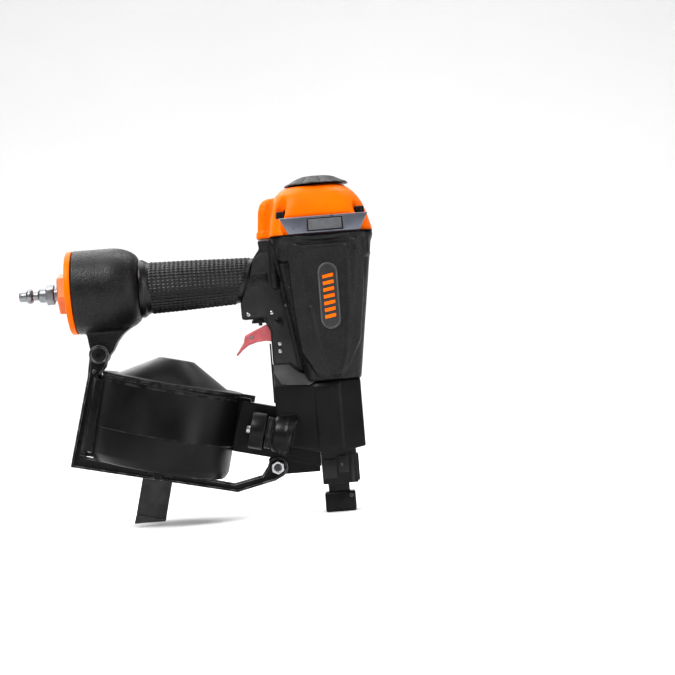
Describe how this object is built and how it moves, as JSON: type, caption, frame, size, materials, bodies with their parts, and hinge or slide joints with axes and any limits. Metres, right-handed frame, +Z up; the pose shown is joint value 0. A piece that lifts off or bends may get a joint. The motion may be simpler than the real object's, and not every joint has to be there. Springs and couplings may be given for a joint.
{
  "type": "pneumatic coil roofing nailer",
  "caption": "Air-powered roofing nailer: upright driver housing, rubber-gripped handle with air plug, hinged round coil magazine, trigger and sliding contact tip.",
  "frame": {"origin": "middle of the bounding box's underside, on the plane of the contact tip's end face", "axes": "+Z up along the driver, +X forward from the air plug to the cylinder, +Y away from the magazine door"},
  "size_m": [0.294, 0.117, 0.276],
  "materials": {
    "cast_black": "black powder-coated casting",
    "rubber_black": "moulded black rubber",
    "orange": "glossy orange painted casting",
    "anodised_orange": "anodised orange",
    "chrome": "bright nickel-chrome",
    "black_steel": "black oxide or painted steel",
    "plate_blue": "blue-grey painted metal",
    "pad_grey": "grey rubber",
    "dark_grey": "dark grey moulded",
    "aluminium": "machined",
    "urethane": "amber urethane",
    "steel": "plain steel",
    "brass": "turned",
    "trigger_red": "dusty red anodised casting",
    "zinc": "zinc plated",
    "mag_black": "satin black moulded"
  },
  "bodies": {
    "nailer": {"main_housing": "cast_black", "grip_sleeve": "rubber_black", "end_cap": "orange", "inlet_bushing": "anodised_orange", "air_plug": "chrome", "cap_gasket": "rubber_black", "cylinder_cap": "orange", "cap_bolt_1": "black_steel", "cap_bolt_2": "black_steel", "cap_bolt_3": "black_steel", "cap_bolt_4": "black_steel", "side_plate_right": "plate_blue", "side_plate_left": "plate_blue", "side_pad_right": "pad_grey", "side_pad_left": "pad_grey", "deflector_screw": "black_steel", "cylinder_sleeve": "aluminium", "bumper": "urethane", "trigger_valve_body": "brass", "trigger_pin": "black_steel", "web_pin_1": "steel", "web_pin_2": "steel", "ear_pin_1": "steel", "ear_pin_2": "steel", "nose_body": "cast_black", "nose_cover": "mag_black", "magazine_base": "mag_black", "magazine_hinge_pin": "steel", "magazine_lid": "mag_black", "magazine_bracket": "black_steel", "bracket_bolt": "black_steel", "bracket_nut": "zinc", "front_bolt": "zinc", "front_nut": "zinc", "feed_channel": "dark_grey", "feeder_cap": "mag_black", "feeder_screw": "steel", "feeder_cylinder": "mag_black", "badge": "dark_grey"},
    "deflector": {"exhaust_deflector": "dark_grey"},
    "piston": {"piston": "aluminium", "piston_seal": "rubber_black", "driver_blade": "steel"},
    "head_valve": {"head_valve": "aluminium"},
    "trigger": {"trigger": "trigger_red", "lever_pin": "steel"},
    "contact_lever": {"contact_lever": "zinc"},
    "valve_stem": {"valve_stem": "steel"},
    "contact_slide": {"contact_tip": "black_steel", "contact_arm": "zinc"},
    "depth_wheel": {"depth_wheel": "black_steel"},
    "magazine_door": {"magazine_door": "mag_black"},
    "nail_platform": {"nail_platform": "mag_black"},
    "feed_piston": {"feed_piston": "aluminium"},
    "shingle_guide": {"shingle_guide": "steel", "guide_screw": "black_steel"}
  },
  "joints": [
    {"name": "deflector_turn", "type": "hinge", "parent": "nailer", "child": "deflector", "pos_m": [0.104, 0, 0.272], "axis": [0, 0, 1], "continuous": true},
    {"name": "piston_stroke", "type": "slide", "parent": "nailer", "child": "piston", "axis": [0, 0, -1], "range_m": [0, 0.052]},
    {"name": "head_valve_lift", "type": "slide", "parent": "nailer", "child": "head_valve", "axis": [0, 0, 1], "range_m": [0, 0.006], "stiffness_N_per_m": 300, "springref_m": -0.002},
    {"name": "trigger_pull", "type": "hinge", "parent": "nailer", "child": "trigger", "pos_m": [0.065, 0, 0.1588], "axis": [0, 1, 0], "range_deg": [0, 9], "stiffness_Nm_per_rad": 0.5, "springref_deg": -5.73},
    {"name": "contact_lever_tilt", "type": "hinge", "parent": "trigger", "child": "contact_lever", "pos_m": [0.0416, 0, 0.1475], "axis": [0, -1, 0], "range_deg": [0, 6], "stiffness_Nm_per_rad": 0.02, "springref_deg": -5.73},
    {"name": "valve_stem_lift", "type": "slide", "parent": "nailer", "child": "valve_stem", "axis": [0, 0, 1], "range_m": [0, 0.003]},
    {"name": "contact_safety", "type": "slide", "parent": "nailer", "child": "contact_slide", "axis": [0, 0, 1], "range_m": [0, 0.006], "stiffness_N_per_m": 400, "springref_m": -0.004},
    {"name": "depth_wheel_turn", "type": "hinge", "parent": "nailer", "child": "depth_wheel", "pos_m": [0.121, -0.0154, 0.096], "axis": [0, 0, 1], "continuous": true},
    {"name": "magazine_door_swing", "type": "hinge", "parent": "nailer", "child": "magazine_door", "pos_m": [-0.09403, -0.0162, 0.09497], "axis": [-0.2419, 0, -0.9703], "range_deg": [0, 100]},
    {"name": "platform_lift", "type": "slide", "parent": "nailer", "child": "nail_platform", "axis": [0.2419, 0, 0.9703], "range_m": [0, 0.04]},
    {"name": "feed_stroke", "type": "slide", "parent": "nailer", "child": "feed_piston", "axis": [0.9703, 0, -0.2419], "range_m": [0, 0.01]},
    {"name": "guide_slide", "type": "slide", "parent": "nailer", "child": "shingle_guide", "axis": [0.9703, 0, -0.2419], "range_m": [-0.007, 0.007]}
  ],
  "couplings": [
    {"joint": "valve_stem_lift", "follows": "trigger_pull", "m_per_rad": 0.015}
  ]
}
